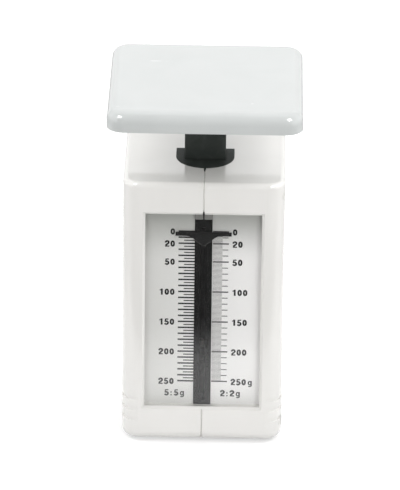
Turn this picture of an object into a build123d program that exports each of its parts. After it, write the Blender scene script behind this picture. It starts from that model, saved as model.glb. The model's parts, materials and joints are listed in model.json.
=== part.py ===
"""Small letter and diet scale: a square platform on a sliding stem, in an upright tower with a straight scale.

X is to the right, Y to the back and Z up. The origin is on the table, under the middle of the platform.
All sizes are in millimetres.
"""

import os
from math import asin, atan2, ceil, cos, degrees, hypot, pi, radians, sin, sqrt, tan

from build123d import *

os.makedirs("parts", exist_ok=True)

# Tower: two half shells that meet in the plane of symmetry
tower_width = 90.0
tower_depth = 84.0
tower_height = 158.0
foot_stand = 1.0
wall = 2.2
corner_radius = 9.5
top_edge_radius = 3.0
base_edge_radius = 5.0
seam_bevel = 0.5
seam_notch_width = 1.4
collar_notch = 5.5
window_notch = 3.2
base_notch = 3.5
rib = 1.6

# Grooves round each side near the foot
groove_count = 3
groove_pitch = 6.3
groove_height = 2.0
groove_depth = 0.7
lowest_groove = 13.1

# Window, lens and scale plate
window_jamb = 12.65
window_sill = 21.8
window_head = 18.9
window_bevel = 1.4
lens_thickness = 1.5
pointer_space = 2.7
plate_thickness = 0.8
edge_lap = 1.8
frame_set_back = 0.6
frame_rib = 2.8
zero_mark_drop = 12.5
last_mark_rise = 13.5

# Black rail down the middle of the scale plate
rail_width = 9.6
rail_proud = 0.6
rail_flange_width = 15.0
rail_flange = 2.0
rail_slot = 2.6
rail_slot_margin = 3.0
clip_height = 4.2
clip_gap = 0.7

# Collar flush in the top, flat behind and half round in front
collar_radius = 16.2
collar_centre = -3.5
collar_back = 8.5
collar_flange = 2.0
collar_lap = 2.0
sleeve_wall = 1.6
sleeve_length = 12.0

# Stem and platform
stem_width = 23.0
stem_depth = 14.0
stem_wall = 1.8
stem_edge_radius = 0.6
stem_foot_height = 38.0
head_size = 52.0
head_thickness = 2.4
head_corner_radius = 4.0
head_gusset = 8.0
platform_size = 108.0
platform_height = 11.0
platform_gap = 35.0
platform_wall = 2.2
platform_corner_radius = 10.0
platform_edge_radius = 6.0
platform_rim_depth = 5.0
platform_travel = 28.5
overload_gap = 0.3

# Lower stem guide and the shelves that hold both guides
guide_height = 44.0
guide_thickness = 4.0
guide_back = 24.0
shelf_width = 13.0
shelf_lap = 1.5

# Rack, pinion and cord drum
pinion_radius = 4.9
pinion_teeth = 14
pressure_angle = 25.0
backlash = 0.06
tooth_tip = 1.0
tooth_root = 1.25
rack_pitch_line = -2.0
rack_width = 3.4
rack_back = 5.0
rack_margin = 4.3
pinion_width = 3.1
pinion_gap = 0.5
drum_width = 5.0
drum_flange = 0.9
drum_web = 1.6
drum_hub_radius = 4.2
drum_rim = 1.6
drum_hole_radius = 3.2
drum_holes = 6
flange_reach = 1.5

# Cord and its two wheels
cord_radius = 0.4
cord_turn_pitch = 0.95
wheel_cord_radius = 5.0
wheel_width = 4.0
upper_wheel_gap = 5.9
lower_wheel_gap = 0.8

# Pins of the drum and the cord wheels
pin_radius = 1.5
pin_head_radius = 2.5
pin_head = 0.6
pin_hold = 11.0
pin_boss_radius = 3.6

# Pointer and slider
pointer_thickness = 0.8
pointer_half_span = 15.6
pointer_arm_height = 2.2
pointer_tail = 8.5
pointer_reading_edge = 0.1
shank_width = 1.8
shank_height = 5.0
slider_width = 9.0
slider_height = 9.0
slider_thickness = 2.4
clamp_width = 3.6
clamp_height = 6.0

# Spring, its eyes, and the zero adjustment
spring_back = 20.0
spring_coil_radius = 4.0
spring_wire_radius = 0.275
spring_turns = 20
eye_radius = 1.8
eye_rim = 2.2
zero_eye_drop = 9.8
zero_play = 0.25
lug_thickness = 2.4
lug_root = 12.0
rod_radius = 1.5
rod_flat = 6.0
knob_radius = 6.2
knob_height = 5.0
knob_skirt = 1.2
knob_flutes = 12
knob_flute_radius = 1.0
rod_above_knob = 0.8

# Screws that hold the halves together
screw_inset = 9.0
screw_rise = 10.0
screw_drop = 9.0
screw_radius = 1.4
screw_head_radius = 2.8
screw_head = 2.0
screw_reach = 12.0
well_radius = 3.2
well_boss_radius = 4.6
pilot_boss_radius = 3.6
rack_screw_radius = 1.0
rack_screw_head_radius = 1.9
rack_screw_head = 1.2

# Feet and overload buffer
foot_radius = 5.0
foot_inset = 12.0
foot_recess = 1.0
buffer_width = 14.0
buffer_depth = 10.0
buffer_edge_radius = 1.0

# Clearances
slip = 0.1
stem_slip = 0.15
running = 0.05
side_play = 0.3
cord_slip = 0.15

# Places that follow from the sizes above
front = -tower_depth / 2
inner_front = front + wall
inner_back = -inner_front
inner_side = tower_width / 2 - wall
base = foot_stand
floor = base + wall
top = base + tower_height
ceiling = top - wall

window_width = tower_width - 2 * window_jamb
window_top = top - window_head
window_height = window_top - window_sill
window_middle = (window_top + window_sill) / 2
glazing_width = window_width + 2 * edge_lap
glazing_height = window_height + 2 * edge_lap
lens_back = inner_front + lens_thickness
plate_front = lens_back + pointer_space
plate_back = plate_front + plate_thickness
rail_front = plate_front - rail_proud
rail_foot = window_sill - frame_set_back + slip
rail_top = window_top + frame_set_back - slip
rail_back = plate_back + rail_flange
frame_back = rail_back + slip + rib / 2

scale_length = window_height - zero_mark_drop - last_mark_rise
reading_edge = window_top - zero_mark_drop + pointer_reading_edge
pointer_back = rail_front - side_play
slider_front = rail_back + side_play
slider_back = slider_front + slider_thickness
slider_middle = reading_edge - slider_height / 2

platform_rim = top + platform_gap
head_top = platform_rim + platform_height - platform_wall
guide_top = guide_height + guide_thickness
buffer_top = stem_foot_height - platform_travel - overload_gap

wheel_radius = wheel_cord_radius + flange_reach
upper_wheel_height = reading_edge + upper_wheel_gap + wheel_radius
lowest_clamp = slider_middle - scale_length - clamp_height / 2
lower_wheel_height = lowest_clamp - lower_wheel_gap - wheel_radius
cord_front = frame_back + 2 * side_play + flange_reach
clamp_back = cord_front + cord_radius + cord_slip + rib
wheel_centre_y = cord_front + wheel_cord_radius

gear_module = 2 * pinion_radius / pinion_teeth
tooth_pitch = pi * gear_module
drum_cord_radius = pinion_radius * scale_length / platform_travel
drum_centre_y = rack_pitch_line + pinion_radius
drum_height = (upper_wheel_height + lower_wheel_height) / 2
rack_outer = stem_width / 2 + rack_width
root_line = rack_pitch_line - gear_module * tooth_root
tooth_line = rack_pitch_line + gear_module * tooth_tip
rack_rear = root_line - rack_back
rack_middle_y = root_line - rack_back / 2
rack_teeth = ceil((platform_travel + 2 * rack_margin) / tooth_pitch)
rack_foot = drum_height - rack_margin - tooth_pitch / 2
rack_head = rack_foot + rack_teeth * tooth_pitch
rack_tabs = (rack_foot - 2 * rack_screw_head_radius, rack_head + 2 * rack_screw_head_radius)
pinion_inner = stem_width / 2 + pinion_gap
drum_inner = pinion_inner + pinion_width
drum_outer = drum_inner + drum_width
cord_plane = (drum_inner + drum_outer) / 2
wheel_inner = cord_plane - wheel_width / 2
wheel_outer = cord_plane + wheel_width / 2

guide_half_width = rack_outer + side_play + sleeve_wall
guide_front = rack_rear - side_play - sleeve_wall
sleeve_width = stem_width + 2 * (stem_slip + sleeve_wall)
sleeve_depth = stem_depth + 2 * (stem_slip + sleeve_wall)

zero_eye_height = ceiling - zero_eye_drop
spring_eye_height = guide_top + slip + rib + platform_travel + lug_root / 2 + side_play
spring_top = zero_eye_height - eye_radius + spring_wire_radius + zero_play + running
spring_foot = spring_eye_height + eye_radius - spring_wire_radius - slip

screw_places = [
    (y, z)
    for y in (front + screw_inset, -front - screw_inset)
    for z in (base + screw_rise, top - screw_drop)
]
pin_places = [
    (drum_centre_y, drum_height, pinion_inner, drum_outer + side_play),
    (wheel_centre_y, upper_wheel_height, wheel_inner - slip - pin_head, wheel_outer + side_play),
    (wheel_centre_y, lower_wheel_height, wheel_inner - slip - pin_head, wheel_outer + side_play),
]
foot_places = GridLocations(tower_width - 2 * foot_inset, tower_depth - 2 * foot_inset, 2, 2)
front_plane = Plane.XZ.offset(-front)


def facing(y):
    """An upright plane at a depth, seen from the front: X to the right, Z up, and its normal to the front."""
    return Plane.XZ.offset(-y)


def across(x):
    """An upright plane at a distance to the right: Y to its right, Z up, and its normal to the right."""
    return Plane.YZ.offset(x)


def level(z):
    """A level plane at a height."""
    return Plane.XY.offset(z)


def collar_outline(grow):
    """The collar from above, in the open sketch, grown all round by a clearance or a lap."""
    back_edge = collar_back + grow
    radius = collar_radius + grow
    with Locations((0, collar_centre)):
        Circle(radius)
    with Locations((0, (collar_centre + back_edge) / 2)):
        Rectangle(2 * radius, back_edge - collar_centre)
    with Locations((0, back_edge + radius)):
        Rectangle(4 * radius, 2 * radius, mode=Mode.SUBTRACT)


def seam_notch(length, rotation):
    """A notch in the open sketch that narrows from an opening's edge along the seam."""
    taper = seam_notch_width - seam_bevel
    Trapezoid(
        seam_notch_width + taper, 2 * length, degrees(atan2(2 * length, taper)), rotation=rotation
    )


def bar(x_range, y_range, z_range):
    """A block between the given limits, added to the open part."""
    size = [high - low for low, high in (x_range, y_range, z_range)]
    middle = [(high + low) / 2 for low, high in (x_range, y_range, z_range)]
    with Locations(tuple(middle)):
        Box(*size)


# The hollow inside both half shells
with BuildPart() as cavity:
    with BuildSketch(level(floor)):
        RectangleRounded(tower_width - 2 * wall, tower_depth - 2 * wall, corner_radius - wall)
    extrude(amount=ceiling - floor)
    fillet(cavity.faces().sort_by(Axis.Z)[-1].edges(), top_edge_radius - wall)
    fillet(cavity.faces().sort_by(Axis.Z)[0].edges(), base_edge_radius - wall)


def half_shell():
    """The right half of the tower with all that both halves share."""
    with BuildPart() as half:
        with BuildSketch(level(base)):
            RectangleRounded(tower_width, tower_depth, corner_radius)
        extrude(amount=tower_height)
        fillet(half.faces().sort_by(Axis.Z)[-1].edges(), top_edge_radius)
        fillet(half.faces().sort_by(Axis.Z)[0].edges(), base_edge_radius)
        split(bisect_by=Plane.YZ, keep=Keep.TOP)
        chamfer(half.faces().sort_by(Axis.X)[0].edges(), seam_bevel)
        add(cavity.part, mode=Mode.SUBTRACT)

        # Grooves that fade out round the corners
        for count in range(groove_count):
            with BuildSketch(level(lowest_groove + count * groove_pitch)):
                with Locations((tower_width / 2, 0)):
                    Rectangle(2 * corner_radius, tower_depth + 2 * wall)
                RectangleRounded(
                    tower_width - 2 * groove_depth, tower_depth, corner_radius, mode=Mode.SUBTRACT
                )
            extrude(amount=groove_height, mode=Mode.SUBTRACT)

        # Window with its bevel
        with BuildSketch(front_plane):
            with Locations((0, window_middle)):
                Rectangle(window_width, window_height)
        extrude(amount=-wall, mode=Mode.SUBTRACT)
        rim = half.edges().filter_by(lambda edge: abs(edge.center().Y - front) < 0.01)
        rim = rim.filter_by(lambda edge: abs(edge.center().X) < window_width / 2 + 0.01)
        rim = rim.filter_by(lambda edge: abs(edge.center().Z - window_middle) < window_height / 2 + 0.01)
        rim = rim.filter_by(lambda edge: edge.center().X > seam_bevel + 0.01)
        chamfer(rim, window_bevel)

        # Frame behind the window, with pockets for the lens, the plate and the ends of the rail
        with BuildSketch(facing(inner_front)):
            with Locations((0, window_middle)):
                Rectangle(glazing_width + 2 * frame_rib, glazing_height + 2 * frame_rib)
                Rectangle(
                    window_width + 2 * frame_set_back,
                    window_height + 2 * frame_set_back,
                    mode=Mode.SUBTRACT,
                )
            with Locations((-tower_width / 2, window_middle)):
                Rectangle(tower_width, tower_height, mode=Mode.SUBTRACT)
        extrude(amount=-(frame_back - inner_front))
        for near, far in ((inner_front, lens_back), (plate_front, plate_back)):
            with BuildSketch(facing(near)):
                with Locations((0, window_middle)):
                    Rectangle(glazing_width + 2 * slip, glazing_height + 2 * slip)
            extrude(amount=-(far - near), mode=Mode.SUBTRACT)
        with BuildSketch(facing(plate_back)):
            with Locations((0, window_middle)):
                Rectangle(rail_flange_width + 2 * slip, glazing_height + 2 * slip)
        extrude(amount=-(rail_flange + slip), mode=Mode.SUBTRACT)

        # Opening for the collar and hole for the zero rod
        with BuildSketch(level(top)):
            collar_outline(slip)
            with Locations((0, spring_back)):
                Circle(rod_radius + side_play)
        extrude(amount=-wall, mode=Mode.SUBTRACT)

        # Small notches where the seam meets an opening
        with BuildSketch(level(top)):
            with Locations((0, collar_centre - collar_radius)):
                seam_notch(collar_notch, 180)
        extrude(amount=-wall, mode=Mode.SUBTRACT)
        with BuildSketch(front_plane):
            with Locations((0, window_top)):
                seam_notch(window_notch, 0)
            with Locations((0, base)):
                Rectangle(seam_notch_width, 2 * base_notch)
        extrude(amount=-wall, mode=Mode.SUBTRACT)

        # Recesses for the feet and a curb for the buffer
        with BuildSketch(level(base)):
            with foot_places:
                Circle(foot_radius + slip)
        extrude(amount=foot_recess, mode=Mode.SUBTRACT)
        with BuildSketch(level(floor - wall / 2)):
            Rectangle(buffer_width + 2 * (slip + rib), buffer_depth + 2 * (slip + rib))
            with Locations((-tower_width / 2, 0)):
                Rectangle(tower_width, tower_depth, mode=Mode.SUBTRACT)
        extrude(amount=wall / 2 + rib)
        with BuildSketch(level(floor)):
            Rectangle(buffer_width + 2 * slip, buffer_depth + 2 * slip)
        extrude(amount=rib, mode=Mode.SUBTRACT)

        # Ledges under the collar, fore and aft, each hung from the top by a rib
        ledge = (ceiling - collar_flange - slip - rib, ceiling - collar_flange - slip)
        hanger = (ledge[0], ceiling + wall / 2)
        fore = collar_centre - collar_radius - collar_lap - slip
        aft = collar_back + collar_lap + slip
        bar((0, shelf_width), (fore - rib, fore), hanger)
        bar((0, shelf_width), (fore - rib, fore + shelf_lap), ledge)
        bar((0, shelf_width), (aft, aft + rib), hanger)
        bar((0, shelf_width), (sleeve_depth / 2 + slip, aft + rib), ledge)

        # Shelves, end rib and cheek round the tail of the lower guide
        for low in (guide_height - slip - rib, guide_top + slip):
            bar((0, shelf_width), (guide_back / 2, inner_back + wall / 2), (low, low + rib))
        web = (guide_height - slip - rib / 2, guide_top + slip + rib / 2)
        bar((0, shelf_width), (guide_back + slip, guide_back + slip + rib), web)
        cheek = guide_half_width + slip
        for low in (guide_height - slip - rib, guide_top + slip):
            bar((shelf_width, cheek + rib), (guide_back / 2, guide_back + slip + rib), (low, low + rib))
        bar((cheek, cheek + rib), (guide_back / 2, guide_back + slip + rib), web)

        # Rib that keeps the zero rod from turning
        rod_side = rod_radius + slip
        bar(
            (rod_side, rod_side + rib),
            (spring_back - rod_flat / 2, spring_back + rod_flat / 2),
            (zero_eye_height + eye_radius + eye_rim, ceiling + wall / 2),
        )
    return half.part


shell = half_shell()

with BuildPart() as housing_right:
    add(shell)
    for y, z in screw_places:
        with BuildSketch(across(0)):
            with Locations((y, z)):
                Circle(well_boss_radius)
        extrude(amount=inner_side + wall / 2)
        with BuildSketch(across(screw_reach)):
            with Locations((y, z)):
                Circle(well_radius)
        extrude(amount=tower_width / 2, mode=Mode.SUBTRACT)
        with BuildSketch(across(0)):
            with Locations((y, z)):
                Circle(screw_radius + side_play)
        extrude(amount=screw_reach, mode=Mode.SUBTRACT)
    for y, z, head_face, boss_face in pin_places:
        with BuildSketch(across(boss_face)):
            with Locations((y, z)):
                Circle(pin_boss_radius)
        extrude(amount=inner_side + wall / 2 - boss_face)
        with BuildSketch(across(boss_face)):
            with Locations((y, z)):
                Circle(pin_radius + running / 2)
        extrude(amount=pin_hold + slip, mode=Mode.SUBTRACT)
housing_right.part.label = "housing_right"

with BuildPart() as left_as_right:
    add(shell)
    for y, z in screw_places:
        with BuildSketch(across(0)):
            with Locations((y, z)):
                Circle(pilot_boss_radius)
        extrude(amount=inner_side + wall / 2)
        with BuildSketch(across(0)):
            with Locations((y, z)):
                Circle(screw_radius + running)
        extrude(amount=screw_reach + 2 * rib, mode=Mode.SUBTRACT)

with BuildPart() as housing_left:
    mirror(left_as_right.part, about=Plane.YZ)
housing_left.part.label = "housing_left"

with BuildPart() as housing_screws:
    for y, z in screw_places:
        with BuildSketch(across(screw_reach)):
            with Locations((y, z)):
                Circle(screw_head_radius)
        extrude(amount=screw_head)
        with BuildSketch(across(-screw_reach)):
            with Locations((y, z)):
                Circle(screw_radius)
        extrude(amount=2 * screw_reach)
        with BuildSketch(across(screw_reach + screw_head)):
            with Locations((y, z)):
                Rectangle(0.6 * screw_head_radius, 0.3 * screw_head_radius)
                Rectangle(0.3 * screw_head_radius, 0.6 * screw_head_radius)
        extrude(amount=-screw_head / 2, mode=Mode.SUBTRACT)
housing_screws.part.label = "housing_screws"

with BuildPart() as rubber_feet:
    with BuildSketch(level(0)):
        with foot_places:
            Circle(foot_radius)
    extrude(amount=base + foot_recess)
    chamfer(rubber_feet.edges().group_by(Axis.Z)[0], foot_recess / 2)
rubber_feet.part.label = "rubber_feet"

with BuildPart() as window_lens:
    with BuildSketch(facing(inner_front)):
        with Locations((0, window_middle)):
            Rectangle(glazing_width, glazing_height)
    extrude(amount=-lens_thickness)
window_lens.part.label = "window_lens"

with BuildPart() as scale_plate:
    with BuildSketch(facing(plate_front)):
        with Locations((0, window_middle)):
            Rectangle(glazing_width, glazing_height)
        with Locations((0, (rail_top + rail_foot) / 2)):
            Rectangle(rail_width + 2 * slip, rail_top - rail_foot + 2 * slip, mode=Mode.SUBTRACT)
    extrude(amount=-plate_thickness)
scale_plate.part.label = "scale_plate"

with BuildPart() as guide_rail:
    with BuildSketch(facing(rail_front)):
        with Locations((0, (rail_top + rail_foot) / 2)):
            Rectangle(rail_width, rail_top - rail_foot)
    extrude(amount=-(rail_back - rail_front))
    with BuildSketch(facing(plate_back)):
        with Locations((0, window_middle)):
            Rectangle(rail_flange_width, glazing_height)
    extrude(amount=-rail_flange)
    slot_top = reading_edge + rail_slot_margin
    slot_foot = reading_edge - scale_length - slider_height - rail_slot_margin
    with BuildSketch(facing(rail_front)):
        with Locations((0, (slot_top + slot_foot) / 2)):
            SlotOverall(slot_top - slot_foot, rail_slot, rotation=90)
    extrude(amount=-(rail_back - rail_front), mode=Mode.SUBTRACT)
guide_rail.part.label = "guide_rail"

# Two clips over the rail's top end, held between it and the lens
with BuildPart() as rail_clips:
    with BuildSketch(facing(rail_front)):
        for side in (-1, 1):
            with Locations((side * (rail_width + clip_gap) / 4, (rail_top + window_top - clip_height) / 2)):
                Rectangle((rail_width - clip_gap) / 2, rail_top - window_top + clip_height)
    extrude(amount=rail_front - lens_back)
rail_clips.part.label = "rail_clips"

with BuildPart() as stem_collar:
    with BuildSketch(level(ceiling)):
        collar_outline(0)
    extrude(amount=wall)
    with BuildSketch(level(ceiling)):
        collar_outline(collar_lap)
    extrude(amount=-collar_flange)
    with BuildSketch(level(ceiling - collar_flange)):
        Rectangle(sleeve_width, sleeve_depth)
    extrude(amount=-sleeve_length)
    with BuildSketch(level(top)):
        Rectangle(stem_width + 2 * stem_slip, stem_depth + 2 * stem_slip)
    extrude(amount=-(wall + collar_flange + sleeve_length), mode=Mode.SUBTRACT)
stem_collar.part.label = "stem_collar"

with BuildPart() as stem_guide:
    with BuildSketch(level(guide_height)):
        with Locations((0, (guide_front + guide_back) / 2)):
            Rectangle(2 * guide_half_width, guide_back - guide_front)
        Rectangle(stem_width + 2 * stem_slip, stem_depth + 2 * stem_slip, mode=Mode.SUBTRACT)
        # Passage for the rack
        with Locations(((stem_width / 2 + rack_outer) / 2, (rack_rear + tooth_line) / 2)):
            Rectangle(rack_width + 2 * side_play, tooth_line - rack_rear + 2 * side_play, mode=Mode.SUBTRACT)
    extrude(amount=guide_thickness)
    fillet(stem_guide.edges().filter_by(Axis.Z).group_by(Axis.Y)[0], sleeve_wall / 2)
stem_guide.part.label = "stem_guide"

with BuildPart() as overload_buffer:
    with BuildSketch(level(floor)):
        Rectangle(buffer_width, buffer_depth)
    extrude(amount=buffer_top - floor)
    fillet(overload_buffer.edges().group_by(Axis.Z)[-1], buffer_edge_radius)
overload_buffer.part.label = "overload_buffer"

with BuildPart() as stem:
    head_foot = head_top - head_thickness
    with BuildSketch(level(stem_foot_height)):
        Rectangle(stem_width, stem_depth)
    extrude(amount=head_foot - stem_foot_height)
    fillet(stem.edges().filter_by(Axis.Z), stem_edge_radius)
    with BuildSketch(level(head_foot)):
        RectangleRounded(head_size, head_size, head_corner_radius)
    extrude(amount=head_thickness)
    # Gussets under the head, on all four sides
    for plane, reach in ((Plane.XZ, stem_width / 2), (Plane.YZ, stem_depth / 2)):
        for side in (-1, 1):
            with BuildSketch(plane):
                with BuildLine():
                    Polyline(
                        (side * (reach - stem_wall / 2), head_foot),
                        (side * (reach + head_gusset), head_foot),
                        (side * (reach - stem_wall / 2), head_foot - head_gusset),
                        close=True,
                    )
                make_face()
            extrude(amount=rib / 2, both=True)
    with BuildSketch(level(stem_foot_height)):
        Rectangle(stem_width - 2 * stem_wall, stem_depth - 2 * stem_wall)
    extrude(amount=head_foot - stem_foot_height, mode=Mode.SUBTRACT)
    # Lug that the spring pulls up on
    with BuildSketch(Plane.YZ):
        with BuildLine():
            Polyline(
                (stem_depth / 2 - stem_wall / 2, spring_eye_height + lug_root / 2),
                (spring_back, spring_eye_height + eye_radius + eye_rim),
                (spring_back, spring_eye_height - eye_radius - eye_rim),
                (stem_depth / 2 - stem_wall / 2, spring_eye_height - lug_root / 2),
                close=True,
            )
        make_face()
        with Locations((spring_back, spring_eye_height)):
            Circle(eye_radius + eye_rim)
            Circle(eye_radius, mode=Mode.SUBTRACT)
    extrude(amount=lug_thickness / 2, both=True)
    # Pilot holes for the rack's screws
    for height in rack_tabs:
        with BuildSketch(across(stem_width / 2)):
            with Locations((rack_middle_y, height)):
                Circle(rack_screw_radius)
        extrude(amount=-stem_wall, mode=Mode.SUBTRACT)
stem.part.label = "stem"

with BuildPart() as stem_rack:
    end_reach = 3 * rack_screw_head_radius
    with BuildSketch(across(stem_width / 2)):
        with Locations((rack_middle_y, (rack_foot + rack_head) / 2)):
            Rectangle(rack_back, rack_head - rack_foot + 2 * end_reach)
        for count in range(rack_teeth - 1):
            height = drum_height + (count - round(rack_margin / tooth_pitch) + 0.5) * tooth_pitch
            half_tooth = tooth_pitch / 4 - backlash / 2
            foot_half = half_tooth + gear_module * tooth_root * tan(radians(pressure_angle))
            tip_half = half_tooth - gear_module * tooth_tip * tan(radians(pressure_angle))
            with BuildLine():
                Polyline(
                    (root_line - rib / 2, height - foot_half),
                    (root_line, height - foot_half),
                    (tooth_line, height - tip_half),
                    (tooth_line, height + tip_half),
                    (root_line, height + foot_half),
                    (root_line - rib / 2, height + foot_half),
                    close=True,
                )
            make_face()
    extrude(amount=rack_width)
    for height in rack_tabs:
        with BuildSketch(across(stem_width / 2)):
            with Locations((rack_middle_y, height)):
                Circle(rack_screw_radius + slip)
        extrude(amount=rack_width, mode=Mode.SUBTRACT)
        with BuildSketch(across(rack_outer)):
            with Locations((rack_middle_y, height)):
                Circle(rack_screw_head_radius + slip)
        extrude(amount=-rack_screw_head, mode=Mode.SUBTRACT)
stem_rack.part.label = "stem_rack"

with BuildPart() as rack_screws:
    for height in rack_tabs:
        with BuildSketch(across(rack_outer)):
            with Locations((rack_middle_y, height)):
                Circle(rack_screw_head_radius)
        extrude(amount=-rack_screw_head)
        with BuildSketch(across(rack_outer - rack_screw_head)):
            with Locations((rack_middle_y, height)):
                Circle(rack_screw_radius - running)
        extrude(amount=-(rack_width - rack_screw_head + stem_wall))
rack_screws.part.label = "rack_screws"

with BuildPart() as pan:
    with BuildSketch(level(platform_rim)):
        RectangleRounded(platform_size, platform_size, platform_corner_radius)
    extrude(amount=platform_height)
    fillet(pan.faces().sort_by(Axis.Z)[-1].edges(), platform_edge_radius)
    inner_size = platform_size - 2 * platform_wall
    with BuildSketch(level(platform_rim)) as hollow:
        RectangleRounded(inner_size, inner_size, platform_corner_radius - platform_wall)
    extrude(amount=platform_height - platform_edge_radius, mode=Mode.SUBTRACT)
    slope = platform_edge_radius - platform_wall
    with BuildSketch(level(platform_rim + platform_height - platform_edge_radius)):
        RectangleRounded(inner_size, inner_size, platform_corner_radius - platform_wall)
    extrude(amount=slope, taper=30, mode=Mode.SUBTRACT)
    # Rim that grips the stem's head, and ribs out to the skirt
    rim_inner = head_size + 2 * slip
    rim_outer = rim_inner + 2 * rib
    with BuildSketch(level(head_top)):
        RectangleRounded(rim_outer, rim_outer, head_corner_radius + slip + rib)
        RectangleRounded(rim_inner, rim_inner, head_corner_radius + slip, mode=Mode.SUBTRACT)
    extrude(amount=-platform_rim_depth)
    reach = inner_size / 2 - platform_edge_radius / 2
    with BuildSketch(level(head_top)):
        for along in (-head_size / 4, head_size / 4):
            for side in (-1, 1):
                middle = side * (rim_outer / 2 - rib / 2 + reach) / 2
                length = reach - rim_outer / 2 + rib / 2
                with Locations((middle, along)):
                    Rectangle(length, rib)
                with Locations((along, middle)):
                    Rectangle(rib, length)
    extrude(amount=-platform_rim_depth / 2)
pan.part.label = "pan"


def involute(radius, base_circle):
    """How far the involute has turned, in radians, where it reaches a radius."""
    slope = sqrt(max((radius / base_circle) ** 2 - 1, 0.0))
    return slope - atan2(slope, 1.0)


with BuildSketch() as pinion_outline:
    base_circle = pinion_radius * cos(radians(pressure_angle))
    root_radius = pinion_radius - gear_module * tooth_root
    tip_radius = pinion_radius + gear_module * tooth_tip
    half_at_pitch = pi / (2 * pinion_teeth) - backlash / (2 * pinion_radius)
    half_at_base = half_at_pitch + involute(pinion_radius, base_circle)
    flank = []
    for radius in (base_circle, pinion_radius, (pinion_radius + tip_radius) / 2, tip_radius):
        angle = half_at_base - involute(radius, base_circle)
        flank.append((radius * cos(angle), radius * sin(angle)))
    root_corner = (root_radius * cos(half_at_base) - slip, root_radius * sin(half_at_base))
    Circle(root_radius)
    with BuildLine() as tooth:
        right_flank = Spline(flank)
        left_flank = mirror(right_flank, about=Plane.XZ)
        Line(right_flank @ 1, left_flank @ 1)
        Line(root_corner, right_flank @ 0)
        Line((root_corner[0], -root_corner[1]), left_flank @ 0)
        Line(root_corner, (root_corner[0], -root_corner[1]))
    tooth_face = make_face(mode=Mode.PRIVATE)
    with PolarLocations(0, pinion_teeth):
        add(tooth_face)

with BuildPart() as drive_pinion:
    placing = Plane(
        origin=(pinion_inner, drum_centre_y, drum_height), x_dir=(0, -1, 0), z_dir=(1, 0, 0)
    )
    with BuildSketch(placing):
        add(pinion_outline.sketch)
    extrude(amount=pinion_width)
    with BuildSketch(placing):
        Circle(pin_radius + running)
    extrude(amount=pinion_width, mode=Mode.SUBTRACT)
    with BuildSketch(placing):
        Circle(pin_head_radius + side_play)
    extrude(amount=pin_head + side_play / 2, mode=Mode.SUBTRACT)
drive_pinion.part.label = "drive_pinion"


def grooved_profile(centre_y, height, inner, outer, cord_line, groove_half):
    """Half the section of a cord wheel or drum, from its bore out to its groove."""
    groove_floor = cord_line - cord_radius - cord_slip
    edge = cord_line + flange_reach
    bore = pin_radius + running
    middle = (inner + outer) / 2
    with BuildSketch(Plane(origin=(0, centre_y, height), x_dir=(1, 0, 0), z_dir=(0, 1, 0))) as profile:
        with BuildLine():
            Polyline(
                (inner, -bore),
                (inner, -edge),
                (inner + drum_flange / 2, -edge),
                (middle - groove_half, -groove_floor),
                (middle + groove_half, -groove_floor),
                (outer - drum_flange / 2, -edge),
                (outer, -edge),
                (outer, -bore),
                close=True,
            )
        make_face()
    return profile.sketch


with BuildPart() as cord_drum:
    groove_half = cord_turn_pitch + cord_radius + slip
    section = grooved_profile(
        drum_centre_y, drum_height, drum_inner, drum_outer, drum_cord_radius, groove_half
    )
    revolve(section, axis=Axis((0, drum_centre_y, drum_height), (1, 0, 0)))
    # Hollow both faces down to a web, leaving the rim and the hub
    rim_inside = drum_cord_radius - cord_radius - cord_slip - drum_rim
    web_depth = (drum_width - drum_web) / 2
    for face, direction in ((drum_inner, 1), (drum_outer, -1)):
        with BuildSketch(across(face)):
            with Locations((drum_centre_y, drum_height)):
                Circle(rim_inside)
                Circle(drum_hub_radius, mode=Mode.SUBTRACT)
        extrude(amount=direction * web_depth, mode=Mode.SUBTRACT)
    with BuildSketch(across(drum_inner)):
        with Locations((drum_centre_y, drum_height)):
            with PolarLocations((rim_inside + drum_hub_radius) / 2, drum_holes):
                Circle(drum_hole_radius)
    extrude(amount=drum_width, mode=Mode.SUBTRACT)
cord_drum.part.label = "cord_drum"

with BuildPart() as upper_cord_wheel:
    section = grooved_profile(
        wheel_centre_y, upper_wheel_height, wheel_inner, wheel_outer, wheel_cord_radius, cord_radius
    )
    revolve(section, axis=Axis((0, wheel_centre_y, upper_wheel_height), (1, 0, 0)))
upper_cord_wheel.part.label = "upper_cord_wheel"

with BuildPart() as lower_cord_wheel:
    section = grooved_profile(
        wheel_centre_y, lower_wheel_height, wheel_inner, wheel_outer, wheel_cord_radius, cord_radius
    )
    revolve(section, axis=Axis((0, wheel_centre_y, lower_wheel_height), (1, 0, 0)))
lower_cord_wheel.part.label = "lower_cord_wheel"

with BuildPart() as all_pins:
    for y, z, head_face, boss_face in pin_places:
        with BuildSketch(across(head_face)):
            with Locations((y, z)):
                Circle(pin_head_radius)
        extrude(amount=pin_head)
        with BuildSketch(across(head_face)):
            with Locations((y, z)):
                Circle(pin_radius)
        extrude(amount=boss_face + pin_hold - head_face)

with BuildPart() as drum_pin:
    add(all_pins.solids().sort_by(Axis.Y)[-1])
drum_pin.part.label = "drum_pin"

with BuildPart() as wheel_pins:
    add(all_pins.solids().sort_by(Axis.Y)[:-1])
wheel_pins.part.label = "wheel_pins"

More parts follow.
